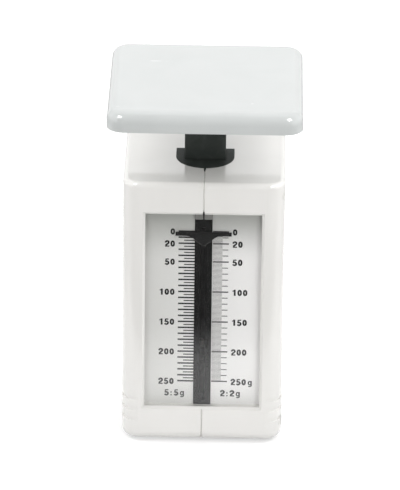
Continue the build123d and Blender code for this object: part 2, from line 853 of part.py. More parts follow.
with BuildPart() as pointer_cord:
    # One loop round both wheels and the drum, all tangent, then two more turns on the drum
    rise = (upper_wheel_height - lower_wheel_height) / 2
    set_back = drum_centre_y - wheel_centre_y
    lean = atan2(set_back, rise) + asin((drum_cord_radius - wheel_cord_radius) / hypot(set_back, rise))
    wheel_end = (wheel_centre_y + wheel_cord_radius * cos(lean), wheel_cord_radius * sin(lean))
    drum_end = (drum_centre_y + drum_cord_radius * cos(lean), drum_cord_radius * sin(lean))
    with BuildLine(across(cord_plane)) as loop:
        Line((cord_front, lower_wheel_height), (cord_front, upper_wheel_height))
        over = ThreePointArc(
            (cord_front, upper_wheel_height),
            (
                wheel_centre_y - wheel_cord_radius * sin(lean / 2),
                upper_wheel_height + wheel_cord_radius * cos(lean / 2),
            ),
            (wheel_end[0], upper_wheel_height + wheel_end[1]),
        )
        down = Line(over @ 1, (drum_end[0], drum_height + drum_end[1]))
        behind = ThreePointArc(
            down @ 1,
            (drum_centre_y + drum_cord_radius, drum_height),
            (drum_end[0], drum_height - drum_end[1]),
        )
        under = Line(behind @ 1, (wheel_end[0], lower_wheel_height - wheel_end[1]))
        ThreePointArc(
            under @ 1,
            (
                wheel_centre_y - wheel_cord_radius * sin(lean / 2),
                lower_wheel_height - wheel_cord_radius * cos(lean / 2),
            ),
            (cord_front, lower_wheel_height),
        )
    with BuildSketch(Plane(origin=(cord_plane, cord_front, lower_wheel_height), z_dir=(0, 0, 1))):
        Circle(cord_radius)
    sweep()
    for offset_x in (-cord_turn_pitch, cord_turn_pitch):
        ring = Plane(origin=(0, drum_centre_y, drum_height), x_dir=(1, 0, 0), z_dir=(0, 1, 0))
        with BuildSketch(ring):
            with Locations((cord_plane + offset_x, drum_cord_radius)):
                Circle(cord_radius)
        revolve(axis=Axis((0, drum_centre_y, drum_height), (1, 0, 0)))
pointer_cord.part.label = "pointer_cord"

with BuildPart() as pointer:
    with BuildSketch(facing(pointer_back)):
        arm_foot = reading_edge - pointer_arm_height
        shoulder = 0.6 * pointer_half_span
        waist_height = reading_edge - 0.57 * pointer_tail
        for side in (-1, 1):
            with BuildLine():
                Line((0, reading_edge), (side * pointer_half_span, reading_edge))
                Line((side * pointer_half_span, reading_edge), (side * pointer_half_span, arm_foot))
                Line((side * pointer_half_span, arm_foot), (side * shoulder, arm_foot - slip))
                TangentArc(
                    (side * shoulder, arm_foot - slip),
                    (side * rail_width / 2, waist_height),
                    tangent=(-side, 0),
                )
                Line((side * rail_width / 2, waist_height), (0, reading_edge - pointer_tail))
                Line((0, reading_edge - pointer_tail), (0, reading_edge))
            make_face()
    extrude(amount=pointer_thickness)
    with BuildSketch(facing(pointer_back)):
        with Locations((0, slider_middle)):
            Rectangle(shank_width, shank_height)
    extrude(amount=-(slider_back - pointer_back))
pointer.part.label = "pointer"

with BuildPart() as pointer_slider:
    with BuildSketch(facing(slider_front)):
        with Locations((0, slider_middle)):
            Rectangle(slider_width, slider_height)
        arm_end = cord_plane + clamp_width / 2
        with Locations((arm_end / 2, slider_middle)):
            Rectangle(arm_end, clamp_height)
    extrude(amount=-slider_thickness)
    with BuildSketch(facing(slider_front)):
        with Locations((cord_plane, slider_middle)):
            Rectangle(clamp_width, clamp_height)
    extrude(amount=-(clamp_back - slider_front))
    with BuildSketch(level(slider_middle - slider_height)):
        with Locations((cord_plane, cord_front)):
            Circle(cord_radius + cord_slip)
    extrude(amount=2 * slider_height, mode=Mode.SUBTRACT)
    with BuildSketch(facing(slider_front)):
        with Locations((0, slider_middle)):
            Rectangle(shank_width + slip, shank_height + slip)
    extrude(amount=-slider_thickness, mode=Mode.SUBTRACT)
pointer_slider.part.label = "pointer_slider"

with BuildPart() as main_spring:
    coil_top = spring_top - spring_coil_radius
    coil_foot = spring_foot + spring_coil_radius
    coil_length = coil_top - coil_foot
    with BuildLine(Plane((0, spring_back, coil_foot))):
        Helix(coil_length / spring_turns, coil_length, spring_coil_radius)
    with BuildSketch(Plane(origin=(spring_coil_radius, spring_back, coil_foot), z_dir=(0, 1, 0))):
        Circle(spring_wire_radius)
    sweep(is_frenet=True)
    for height, start in ((coil_top, 0), (coil_foot, 180)):
        with BuildLine(facing(spring_back)) as arch:
            CenterArc((0, height), spring_coil_radius, start, 180)
        with BuildSketch(Plane(origin=(spring_coil_radius, spring_back, height), z_dir=(0, 0, 1))):
            Circle(spring_wire_radius)
        sweep(path=arch.line)
main_spring.part.label = "main_spring"

with BuildPart() as zero_knob:
    with BuildSketch(level(top + knob_skirt)):
        with Locations((0, spring_back)):
            Circle(knob_radius)
            with PolarLocations(knob_radius + knob_flute_radius / 2, knob_flutes):
                Circle(knob_flute_radius, mode=Mode.SUBTRACT)
    extrude(amount=knob_height - knob_skirt)
    chamfer(zero_knob.edges().group_by(Axis.Z)[-1], side_play)
    with BuildSketch(level(top)):
        with Locations((0, spring_back)):
            Circle(knob_radius - knob_flute_radius / 2)
    extrude(amount=knob_skirt)
    with BuildSketch(level(top)):
        with Locations((0, spring_back)):
            Circle(rod_radius + running)
    extrude(amount=knob_height, mode=Mode.SUBTRACT)
zero_knob.part.label = "zero_knob"

with BuildPart() as zero_rod:
    with BuildSketch(across(0)):
        with Locations((spring_back, zero_eye_height)):
            Circle(eye_radius + eye_rim)
        with Locations((spring_back, (zero_eye_height + ceiling - zero_play - slip) / 2)):
            Rectangle(rod_flat - 2 * slip, ceiling - zero_play - slip - zero_eye_height)
        with Locations((spring_back, zero_eye_height)):
            Circle(eye_radius, mode=Mode.SUBTRACT)
    extrude(amount=rod_radius, both=True)
    with BuildSketch(level(ceiling - wall)):
        with Locations((0, spring_back)):
            Circle(rod_radius)
    extrude(amount=top + knob_height + rod_above_knob - ceiling + wall)
zero_rod.part.label = "zero_rod"

for name, piece in (
    ("housing_left", housing_left.part),
    ("housing_right", housing_right.part),
    ("housing_screws", housing_screws.part),
    ("rubber_feet", rubber_feet.part),
    ("window_lens", window_lens.part),
    ("scale_plate", scale_plate.part),
    ("guide_rail", guide_rail.part),
    ("rail_clips", rail_clips.part),
    ("stem_collar", stem_collar.part),
    ("stem_guide", stem_guide.part),
    ("overload_buffer", overload_buffer.part),
    ("stem", stem.part),
    ("stem_rack", stem_rack.part),
    ("rack_screws", rack_screws.part),
    ("pan", pan.part),
    ("drive_pinion", drive_pinion.part),
    ("cord_drum", cord_drum.part),
    ("upper_cord_wheel", upper_cord_wheel.part),
    ("lower_cord_wheel", lower_cord_wheel.part),
    ("drum_pin", drum_pin.part),
    ("wheel_pins", wheel_pins.part),
    ("pointer_cord", pointer_cord.part),
    ("pointer", pointer.part),
    ("pointer_slider", pointer_slider.part),
    ("main_spring", main_spring.part),
    ("zero_knob", zero_knob.part),
    ("zero_rod", zero_rod.part),
):
    export_step(piece, f"parts/{name}.step")
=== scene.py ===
"""An analogue kitchen scale: finishes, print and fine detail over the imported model."""
import json
from math import cos, pi, radians, sin

import bmesh
import bpy
from mathutils import Matrix, Vector


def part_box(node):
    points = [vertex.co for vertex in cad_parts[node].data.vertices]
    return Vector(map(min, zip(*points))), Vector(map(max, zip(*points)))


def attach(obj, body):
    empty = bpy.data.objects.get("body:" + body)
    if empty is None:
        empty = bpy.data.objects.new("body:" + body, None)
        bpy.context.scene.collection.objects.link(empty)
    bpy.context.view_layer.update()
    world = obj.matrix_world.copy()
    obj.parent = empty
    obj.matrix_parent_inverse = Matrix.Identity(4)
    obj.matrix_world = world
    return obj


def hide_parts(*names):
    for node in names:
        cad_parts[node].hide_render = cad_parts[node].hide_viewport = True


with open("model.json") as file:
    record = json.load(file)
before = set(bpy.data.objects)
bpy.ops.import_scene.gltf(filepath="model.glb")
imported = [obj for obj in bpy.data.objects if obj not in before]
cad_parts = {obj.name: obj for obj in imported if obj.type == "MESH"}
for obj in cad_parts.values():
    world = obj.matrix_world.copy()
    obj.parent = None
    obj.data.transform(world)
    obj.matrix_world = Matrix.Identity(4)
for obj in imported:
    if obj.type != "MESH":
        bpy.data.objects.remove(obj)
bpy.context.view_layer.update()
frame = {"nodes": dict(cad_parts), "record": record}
nodes = frame["nodes"]
mm = 0.001


# Wiring of node trees

def socket_called(sockets, name):
    """A socket of a node by its place, its identifier or its name."""
    if isinstance(name, int):
        return sockets[name]
    for socket in sockets:
        if socket.identifier == name:
            return socket
    return sockets[name]


def both_ways(operation):
    """A Python sign as a Math node, and its reflected form for a number on the sign's left."""
    def forward(signal, other):
        return signal.board.maths(operation, signal, other)

    def reflected(signal, other):
        return signal.board.maths(operation, other, signal)

    return forward, reflected


class Signal:
    """What runs along a link. Python's signs between signals add Math nodes."""

    def __init__(self, board, socket):
        self.board = board
        self.socket = socket

    __add__, __radd__ = both_ways("ADD")
    __sub__, __rsub__ = both_ways("SUBTRACT")
    __mul__, __rmul__ = both_ways("MULTIPLY")
    __pow__, __rpow__ = both_ways("POWER")
    __mod__, __rmod__ = both_ways("FLOORED_MODULO")
    __lt__, __gt__ = both_ways("LESS_THAN")

    def held(self):
        """The signal kept between 0 and 1."""
        return self.board.maths("ADD", self, 0.0, use_clamp=True)

    def other(self, name):
        """Another output of the same node."""
        return Signal(self.board, socket_called(self.socket.node.outputs, name))


class Board:
    """A node tree that is being wired."""

    def __init__(self, tree):
        self.tree = tree

    def node(self, kind, settings=None, values=None, take=0):
        """Adds a node, applies its settings, then fills or links its sockets, and gives one output."""
        node = self.tree.nodes.new(kind)
        for name, setting in (settings or {}).items():
            setattr(node, name, setting)
        for name, value in (values or {}).items():
            socket = socket_called(node.inputs, name)
            if isinstance(value, Signal):
                self.tree.links.new(value.socket, socket)
            else:
                socket.default_value = value
        return Signal(self, socket_called(node.outputs, take)) if len(node.outputs) else node

    def maths(self, operation, first, second, use_clamp=False):
        """A Math node on two signals or numbers."""
        settings = {"operation": operation, "use_clamp": use_clamp}
        return self.node("ShaderNodeMath", settings, {0: first, 1: second})


class Finish(Board):
    """A material that is being mixed for one kind of piece."""

    def __init__(self, name):
        self.material = bpy.data.materials.new(name)
        self.material.use_nodes = True
        super().__init__(self.material.node_tree)
        self.tree.nodes.clear()
        self.place = self.node("ShaderNodeTexCoord", take="Object")

    def coordinate(self, axis):
        """How far along X, Y or Z the surface is, in metres."""
        return self.node("ShaderNodeSeparateXYZ", None, {"Vector": self.place}, take=axis)

    def aside(self):
        """How far to either side of the middle the surface is, in metres."""
        across = self.coordinate("X")
        return self.maths("MAXIMUM", across, across * -1)

    def stretched(self, scale, turn=(0, 0, 0)):
        """Object coordinates stretched, so that a pattern runs long in one direction."""
        return self.node("ShaderNodeMapping", None, {"Vector": self.place, "Scale": scale, "Rotation": turn})

    def noise(self, size, detail=2.0, roughness=0.5, distortion=0.0, along=None):
        """Noise from 0 to 1 whose lumps are about as wide as size, in millimetres."""
        return self.node("ShaderNodeTexNoise", None, {
            "Vector": along or self.place, "Scale": 1 / (size * mm), "Detail": detail,
            "Roughness": roughness, "Distortion": distortion})

    def between(self, low, high, signal):
        """Numbers from low to high as the signal goes from 0 to 1."""
        return signal * (high - low) + low

    def steep(self, signal, start, end):
        """0 below start, 1 above end, and a smooth rise between."""
        return self.node("ShaderNodeMapRange", {"interpolation_type": "SMOOTHSTEP"}, {
            "Value": signal, "From Min": start, "From Max": end})

    def blend(self, low, high, factor):
        """A colour between two colours."""
        return self.node("ShaderNodeMix", {"data_type": "RGBA"}, {
            "Factor_Float": factor, "A_Color": low, "B_Color": high}, take="Result_Color")

    def relief(self, height, depth):
        """Bumps of that depth, in millimetres, where height goes from 0 to 1."""
        return self.node("ShaderNodeBump", None, {"Height": height, "Distance": depth * mm, "Strength": 1.0})

    def shade(self, **values):
        """The Principled shader, with each socket named in words joined by underscores."""
        return self.node("ShaderNodeBsdfPrincipled", None, {
            name.replace("_", " "): value for name, value in values.items()})

    def done(self, surface):
        """The finished material, with this shader on its surface."""
        self.node("ShaderNodeOutputMaterial", None, {"Surface": surface})
        return self.material


def colour(red, green, blue):
    """An opaque colour for a socket."""
    return (red, green, blue, 1.0)


def shifted(tint, times, plus=0.0):
    """A tint made paler or darker, the same way in all three parts."""
    return colour(*[part * times + plus for part in tint])


# Finishes

def moulded_white(name, tint, flow_tint, gloss):
    """Polished white plastic with a trace of flow, handling smears, and dust with painted shade in its
    corners and joints.
    """
    mix = Finish(name)
    flow = mix.noise(34, detail=3, distortion=0.6, along=mix.stretched((1, 1, 0.35)))
    smears = mix.noise(11, detail=5, roughness=0.6, distortion=1.5)
    peel = mix.noise(1.6, detail=1)
    hairlines = mix.noise(2.4, detail=2, along=mix.stretched((0.12, 1, 2.6), (0.3, 0.5, 0.2)))
    corners = mix.node(
        "ShaderNodeAmbientOcclusion", {"samples": 4, "only_local": True}, {"Distance": 2.5 * mm}, take="AO")
    joints = mix.node("ShaderNodeAmbientOcclusion", {"samples": 6}, {"Distance": 1.15 * mm}, take="AO")
    # Little dust and painted shade are left low on the tower, where the grooves are, except along the seam.
    above_grooves = mix.steep(mix.coordinate("Z"), 26 * mm, 32 * mm)
    near_seam = 1 - mix.steep(mix.aside(), 5 * mm, 12 * mm)
    keeps_dust_and_shade = mix.maths("MAXIMUM", above_grooves, near_seam)
    # Painted shade with dust: ambient occlusion darkens the colour in corners and where parts meet.
    corner_dust_and_shade = (1 - corners).held() * mix.between(0.15, 0.42, smears)
    joint_dust_and_shade = mix.steep(1 - joints, 0.05, 0.45) * 0.42
    dust_and_shade = (corner_dust_and_shade + joint_dust_and_shade) * mix.between(0.15, 1.0, keeps_dust_and_shade)
    dust_and_shade_tint = colour(0.36, 0.35, 0.32)
    body = mix.blend(colour(*tint), colour(*flow_tint), mix.steep(flow, 0.3, 0.75))
    body = mix.blend(body, dust_and_shade_tint, dust_and_shade.held())
    scratched = mix.steep(hairlines, 0.66, 0.74) * 0.06
    rough = mix.between(gloss, gloss + 0.10, mix.steep(smears, 0.45, 0.8)) + scratched
    return mix.done(mix.shade(
        Base_Color=body, Roughness=rough, Normal=mix.relief(peel, 0.004), IOR=1.5,
        Coat_Weight=1.0, Coat_Roughness=0.05, Coat_IOR=1.6))


def grained_black(name, tint, rough, grain, depth, shine=0.5):
    """Dark plastic with a fine spark-eroded grain and paler rubbed patches."""
    mix = Finish(name)
    pits = mix.noise(grain, detail=3, roughness=0.65)
    worn = mix.noise(7, detail=4, roughness=0.6, distortion=0.8)
    rubbed = mix.steep(worn, 0.42, 0.78) * 0.7 + pits * 0.15
    body = mix.blend(colour(*tint), shifted(tint, 1.55, 0.006), rubbed)
    return mix.done(mix.shade(
        Base_Color=body, Roughness=mix.between(rough - 0.06, rough + 0.10, pits),
        Normal=mix.relief(pits, depth), IOR=1.5, Specular_IOR_Level=shine))


def rubbed_tail():
    """The pointer's edges: a painted highlight, pale round its tail, and black round its bar."""
    mix = Finish("rubbed_tail")
    pits = mix.noise(0.3, detail=3, roughness=0.65)
    at_bar = mix.steep(mix.coordinate("Z"), 122.4 * mm, 124.2 * mm)
    # Painted highlight: the bevelled edges below the bar are coloured pale, as if lit.
    body = mix.blend(colour(0.30, 0.30, 0.29), colour(0.006, 0.006, 0.006), at_bar)
    return mix.done(mix.shade(
        Base_Color=body, Roughness=mix.between(0.36, 0.50, pits), Normal=mix.relief(pits, 0.004),
        IOR=1.5, Specular_IOR_Level=0.2))


def polished_black(name, tint):
    """Black plastic polished in the mould, with smears."""
    mix = Finish(name)
    smears = mix.noise(5, detail=5, roughness=0.6, distortion=1.2)
    peel = mix.noise(1.2, detail=1)
    body = mix.blend(colour(*tint), shifted(tint, 1.4, 0.004), smears)
    return mix.done(mix.shade(
        Base_Color=body, Roughness=mix.between(0.30, 0.44, smears), Normal=mix.relief(peel, 0.004), IOR=1.46))


def satin_silver():
    """The scale plate: silver lacquer on a rolled sheet, with painted shade to the left, at the head and at
    the foot, and painted light to the right.
    """
    mix = Finish("satin_silver")
    grain = mix.noise(0.5, detail=2, along=mix.stretched((0.04, 1, 1)))
    cloud = mix.noise(26, detail=2)
    flake = mix.noise(0.16, detail=1)
    # Painted light and shade: the plate is paler to the right and darker under the window's head and at its
    # foot, as the lamps fall into the window.
    lit_to_right = mix.steep(mix.coordinate("X"), -34 * mm, 30 * mm)
    height = mix.coordinate("Z")
    head_shade = mix.steep(height, 108 * mm, 141 * mm)
    foot_shade = 1 - mix.steep(height, 20 * mm, 36 * mm)
    pale = lit_to_right * 0.8 + cloud * 0.15 + grain * 0.1
    painted_shade = head_shade * 0.9 + foot_shade * 0.2
    shaded_left_tint, lit_right_tint = colour(0.75, 0.75, 0.73), colour(0.995, 0.985, 0.982)
    shade_tint = colour(0.40, 0.41, 0.385)
    body = mix.blend(mix.blend(shaded_left_tint, lit_right_tint, pale), shade_tint, painted_shade.held())
    return mix.done(mix.shade(
        Base_Color=body, Metallic=0.03, Roughness=mix.between(0.40, 0.50, grain * 0.7 + flake * 0.3),
        Normal=mix.relief(grain, 0.002)))


def printed_ink():
    """Screen-printed black, a little uneven in its cover."""
    mix = Finish("printed_ink")
    cover = mix.noise(0.35, detail=3, roughness=0.7)
    thin = mix.steep(cover, 0.45, 0.8)
    body = mix.blend(colour(0.006, 0.006, 0.006), colour(0.026, 0.026, 0.025), thin)
    return mix.done(mix.shade(Base_Color=body, Roughness=mix.between(0.38, 0.55, cover)))


def clear_acrylic():
    """The lens: light goes straight through, and each face mirrors more of it at a glancing look."""
    mix = Finish("clear_acrylic")
    smears = mix.noise(14, detail=5, roughness=0.6, distortion=1.4)
    glance = mix.node("ShaderNodeLayerWeight", None, {"Blend": 0.5}, take="Facing")
    shine = glance ** 5 * 0.96 + 0.04
    through = mix.node("ShaderNodeBsdfTransparent", None, {"Color": colour(0.996, 0.996, 0.994)})
    gloss = mix.node("ShaderNodeBsdfGlossy", None, {
        "Color": colour(1, 1, 1), "Roughness": mix.between(0.03, 0.09, smears),
        "Normal": mix.relief(mix.noise(9, detail=1), 0.004)})
    film = mix.node("ShaderNodeBsdfDiffuse", None, {"Color": colour(0.82, 0.82, 0.81)})
    haze = mix.between(0.005, 0.011, mix.steep(smears, 0.4, 0.8))
    hazed = mix.node("ShaderNodeMixShader", None, {0: haze, 1: through, 2: film})
    return mix.done(mix.node("ShaderNodeMixShader", None, {0: shine, 1: hazed, 2: gloss}))


def soft_rubber():
    """Matt rubber with a pale bloom."""
    mix = Finish("soft_rubber")
    bloom = mix.noise(3, detail=5, roughness=0.65)
    grain = mix.noise(0.25, detail=2)
    pale = mix.steep(bloom, 0.5, 0.85)
    body = mix.blend(colour(0.028, 0.028, 0.027), colour(0.095, 0.093, 0.088), pale)
    return mix.done(mix.shade(
        Base_Color=body, Roughness=mix.between(0.72, 0.92, grain), Normal=mix.relief(grain, 0.01)))


def bright_steel(name, tint, rough, streak, spots=0.0):
    """Steel with fine tool marks along streak, and a film of spots where it is plated."""
    mix = Finish(name)
    marks = mix.noise(0.30, detail=2, along=mix.stretched(streak))
    film = mix.noise(1.6, detail=4, roughness=0.6)
    dulled = mix.steep(film, 0.4, 0.8) * spots + marks * 0.25
    body = mix.blend(colour(*tint), shifted(tint, 0.72), dulled)
    return mix.done(mix.shade(
        Base_Color=body, Metallic=1.0, Roughness=mix.between(rough, rough + 0.16, marks * 0.6 + film * 0.4),
        Normal=mix.relief(marks, 0.003)))


def slick_cream():
    """The unpainted acetal of the wheels, rack and guides."""
    mix = Finish("slick_cream")
    cloud = mix.noise(6, detail=3)
    skin = mix.noise(0.4, detail=2)
    body = mix.blend(colour(0.70, 0.68, 0.60), colour(0.78, 0.76, 0.69), cloud)
    return mix.done(mix.shade(
        Base_Color=body, Roughness=mix.between(0.34, 0.46, skin), Normal=mix.relief(skin, 0.004), IOR=1.48,
        Subsurface_Weight=0.1, Subsurface_Radius=(0.8 * mm, 0.7 * mm, 0.5 * mm), Subsurface_Scale=1.0))


def braided_cord():
    """Two sets of crossing strands."""
    mix = Finish("braided_cord")
    strand_width = 1.1 * mm
    strands = []
    for lean in (0.9, -0.9):
        strands.append(mix.node("ShaderNodeTexWave", {"wave_type": "BANDS", "bands_direction": "Z"}, {
            "Vector": mix.stretched((1, 1, 1), (lean, 0, 0)), "Scale": 1 / strand_width,
            "Distortion": 0.0}, take="Fac"))
    weave = mix.maths("MAXIMUM", strands[0], strands[1])
    body = mix.blend(colour(0.07, 0.065, 0.055), colour(0.24, 0.225, 0.19), weave)
    return mix.done(mix.shade(Base_Color=body, Roughness=0.8, Normal=mix.relief(weave, 0.03)))


# A finish for each material slot of the record. Grain and its depth are in millimetres.
finishes = {
    "tower_white": moulded_white(
        "tower_white", (0.850, 0.838, 0.812), (0.825, 0.813, 0.785), gloss=0.12),
    "pan_white": moulded_white("pan_white", (0.59, 0.61, 0.604), (0.57, 0.59, 0.584), gloss=0.16),
    "stem_black": grained_black("stem_black", (0.026, 0.031, 0.028), rough=0.42, grain=0.35, depth=0.012),
    "collar_black": grained_black(
        "collar_black", (0.024, 0.029, 0.026), rough=0.62, grain=0.35, depth=0.012),
    "rail_black": grained_black(
        "rail_black", (0.002, 0.002, 0.002), rough=0.66, grain=0.3, depth=0.010, shine=0.08),
    "pointer_black": grained_black(
        "pointer_black", (0.004, 0.004, 0.004), rough=0.52, grain=0.3, depth=0.008, shine=0.25),
    "clear_lens": clear_acrylic(),
    "silver_plate": satin_silver(),
    "clip_grey": grained_black("clip_grey", (0.22, 0.22, 0.21), rough=0.40, grain=0.3, depth=0.008),
    "rubber": soft_rubber(),
    "screw_steel": bright_steel(
        "screw_steel", (0.62, 0.62, 0.63), rough=0.26, streak=(1, 0.2, 0.2), spots=0.6),
    "pin_steel": bright_steel("pin_steel", (0.60, 0.60, 0.61), rough=0.22, streak=(1, 0.15, 0.15)),
    "spring_steel": bright_steel(
        "spring_steel", (0.52, 0.52, 0.53), rough=0.24, streak=(0.3, 0.3, 1), spots=0.3),
    "works_plastic": slick_cream(),
    "cord": braided_cord(),
    "knob_black": polished_black("knob_black", (0.024, 0.024, 0.024)),
}
slot_of = {part["node"]: part["material_slot"] for part in frame["record"]["subparts"]}
for name, piece in nodes.items():
    for place in piece.material_slots:
        place.material = finishes[slot_of[name]]


# Pieces with finer edges than the CAD gives them

def link_new(name, contents):
    """A new object in the scene, at the origin."""
    piece = bpy.data.objects.new(name, contents)
    bpy.context.scene.collection.objects.link(piece)
    return piece


def mesh_of(whole, name):
    """A mesh with that name from a bmesh, which is freed."""
    mesh = bpy.data.meshes.new(name)
    whole.to_mesh(mesh)
    whole.free()
    return mesh


def worked_out(piece):
    """A plain mesh of the piece with its modifiers applied."""
    bpy.context.view_layer.update()
    return bpy.data.meshes.new_from_object(piece.evaluated_get(bpy.context.evaluated_depsgraph_get()))


def ride_as(piece, body):
    """The piece moves with the body."""
    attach(piece, body)
    return piece


def merged_copy(node):
    """A node's mesh with its split corners joined again, at its own place."""
    whole = bmesh.new()
    whole.from_mesh(nodes[node].data)
    bmesh.ops.remove_doubles(whole, verts=whole.verts, dist=0.0005 * mm)
    bmesh.ops.dissolve_limit(whole, angle_limit=radians(1), verts=whole.verts, edges=whole.edges)
    mesh = mesh_of(whole, node)
    if "custom_normal" in mesh.attributes:
        mesh.attributes.remove(mesh.attributes["custom_normal"])
    return mesh


def rounded(node, name, body, slot, width, edge_finish):
    """A node again with its sharp edges rubbed round by width, in millimetres, in the edge finish."""
    piece = link_new(name, merged_copy(node))
    piece.data.materials.clear()
    for material in (finishes[slot], edge_finish):
        piece.data.materials.append(material)
    for face in piece.data.polygons:
        face.material_index = 0
        face.use_smooth = False
    bevel = piece.modifiers.new("rub", "BEVEL")
    bevel.width = width * mm
    bevel.segments = 2
    bevel.limit_method = "ANGLE"
    bevel.angle_limit = radians(35)
    bevel.material = 1
    mesh = worked_out(piece)
    piece.modifiers.clear()
    piece.data = mesh
    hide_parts(node)
    return ride_as(piece, body)


rounded("pointer", "pointer_rubbed", "pointer", "pointer_black", 0.30, rubbed_tail())
rounded("rail_clips", "clips_rubbed", "housing", "clip_grey", 0.20, finishes["clip_grey"])
rounded("housing_screws", "screws_rubbed", "housing", "screw_steel", 0.15, finishes["screw_steel"])


# The printed scale

ink = printed_ink()
plate_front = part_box("scale_plate")[0].y
ink_height = 0.012 * mm
ink_middle = plate_front - ink_height / 2
# At rest the pointer's bar stands at zero_mark, and under full_load, in grams, it is scale_length lower
zero_mark = 127.6 * mm
scale_length = 92.3 * mm
full_load = 250
labelled = (0, 20, 50, 100, 150, 200, 250)


def mark_height(load):
    """How high the mark for a load in grams stands."""
    return zero_mark - scale_length * load / full_load


def tick_tree():
    """Ticks down one edge of the scale: every so many of them is longer and thicker."""
    tree = bpy.data.node_groups.new("tick_row", "GeometryNodeTree")
    tree.is_modifier = True
    inputs = {
        "Ticks": "Int", "Pitch": "Float", "Inner end": "Float", "Length": "Float", "Long length": "Float",
        "Line": "Float", "Long line": "Float", "Long every": "Int", "Top": "Float", "Plate front": "Float",
        "Ink height": "Float", "Side": "Float", "Ink": "Material"}
    for name, kind in inputs.items():
        tree.interface.new_socket(name, in_out="INPUT", socket_type="NodeSocket" + kind)
    tree.interface.new_socket("Print", in_out="OUTPUT", socket_type="NodeSocketGeometry")
    board = Board(tree)
    given = board.node("NodeGroupInput")
    number = board.node("GeometryNodeInputIndex")
    is_long = number % given.other("Long every") < 0.5
    length = given.other("Length") + is_long * (given.other("Long length") - given.other("Length"))
    line = given.other("Line") + is_long * (given.other("Long line") - given.other("Line"))
    middle = given.other("Side") * (given.other("Inner end") + length * 0.5)
    height = given.other("Top") - number * given.other("Pitch")
    row = board.node("GeometryNodeMeshLine", None, {"Count": given.other("Ticks")})
    there = board.node("ShaderNodeCombineXYZ", None, {
        "X": middle, "Y": given.other("Plate front") - given.other("Ink height") * 0.5, "Z": height})
    set_out = board.node("GeometryNodeSetPosition", None, {"Geometry": row, "Position": there})
    block = board.node("GeometryNodeMeshCube")
    size = board.node("ShaderNodeCombineXYZ", None, {"X": length, "Y": given.other("Ink height"), "Z": line})
    spread = board.node("GeometryNodeInstanceOnPoints", None, {
        "Points": set_out, "Instance": block, "Scale": size})
    real = board.node("GeometryNodeRealizeInstances", None, {"Geometry": spread})
    inked = board.node("GeometryNodeSetMaterial", None, {"Geometry": real, "Material": given.other("Ink")})
    board.node("NodeGroupOutput", None, {"Print": inked})
    return tree


def made_by_nodes(name, tree, **sizes):
    """Runs a Geometry Nodes tree with these inputs and keeps its result as a plain mesh."""
    start = link_new(name + "_start", bpy.data.meshes.new(name))
    modifier = start.modifiers.new("make", "NODES")
    modifier.node_group = tree
    for item in tree.interface.items_tree:
        if item.in_out == "INPUT":
            modifier[item.identifier] = sizes[item.name.replace(" ", "_").lower()]
    mesh = worked_out(start)
    bpy.data.objects.remove(start)
    return link_new(name, mesh)


def tick_row(name, grams, side, inner, length, line, long_length=None, long_line=None, long_every=1):
    """A tick for every so many grams, left (-1) or right (1) of the middle, with sizes in millimetres.
    Where none is to be longer, all ticks are alike."""
    row = made_by_nodes(
        name, ticks_down_the_edge, ticks=full_load // grams + 1, pitch=scale_length * grams / full_load,
        inner_end=inner * mm, length=length * mm, long_length=(long_length or length) * mm, line=line * mm,
        long_line=(long_line or line) * mm, long_every=long_every, top=zero_mark,
        plate_front=plate_front, ink_height=ink_height, side=side, ink=ink)
    return ride_as(row, "housing")


ticks_down_the_edge = tick_tree()
right_inner = 5.2
tick_row(
    "marks_5g", grams=5, side=-1.0, inner=4.6, length=6.15, line=0.64, long_length=9.3, long_line=0.94,
    long_every=2)
tick_row("marks_2g", grams=2, side=1.0, inner=right_inner, length=5.4, line=0.23)
tick_row("marks_10g", grams=10, side=1.0, inner=10.6, length=3.2, line=0.46)


def bend(middle, across, up, start, stop, square=2.0):
    """Points round an oval from one angle to another, in degrees. A square above 2 fills its corners."""
    points = []
    steps = 24
    for step in range(steps + 1):
        angle = radians(start + (stop - start) * step / steps)
        wide, tall = cos(angle), sin(angle)
        points.append((
            middle[0] + across * (abs(wide) ** (2 / square)) * (1 if wide > 0 else -1),
            middle[1] + up * (abs(tall) ** (2 / square)) * (1 if tall > 0 else -1)))
    return points


# Each sign's strokes, in a frame where a figure is 1 tall: the points along the stroke's middle, whether it
# closes on itself, and its width
bold = 0.27
signs = {
    "0": [(bend((0.33, 0.5), 0.33 - bold / 2, 0.5 - bold / 2, 0, 360, 2.3)[:-1], True, bold)],
    "1": [
        ([(0.405, 0), (0.405, 1.0)], False, bold),
        ([(0.06, 0.755), (0.20, 0.775), (0.31, 0.86), (0.345, 1.0)], False, 0.15)],
    "2": [
        ([(0.095, 0.64)] + bend((0.325, 0.70), 0.225, 0.205, 180, -28)
         + [(0.37, 0.44), (0.20, 0.31), (0.11, 0.17)], False, bold),
        ([(0.015, 0.085), (0.64, 0.085)], False, 0.19)],
    "5": [
        ([(0.60, 0.915), (0.20, 0.915)], False, 0.19),
        ([(0.20, 0.98), (0.125, 0.50)], False, 0.185),
        (bend((0.31, 0.325), 0.235, 0.235, 147, -160), False, bold)],
    "g": [
        (bend((0.285, 0.37), 0.20, 0.27, 0, 360, 2.2)[:-1], True, 0.19),
        ([(0.505, 0.73), (0.505, 0.0)] + bend((0.285, -0.03), 0.22, 0.155, 0, -150), False, 0.19)],
    ":": [
        ([(0.0, 0.10), (0.20, 0.10)], False, 0.20),
        ([(0.0, 0.56), (0.20, 0.56)], False, 0.20)],
    " ": [],
}
sign_widths = {"0": 0.66, "1": 0.50, "2": 0.66, "5": 0.64, "g": 0.60}
sign_steps = {"0": 0.80, "1": 0.80, "2": 0.80, "5": 0.80, "g": 0.80, ":": 0.42, " ": 0.14}
figure_height = 3.8 * mm
figure_drop = 0.3 * mm
left_figures_end = -15.9 * mm
right_figures_start = 16.2 * mm
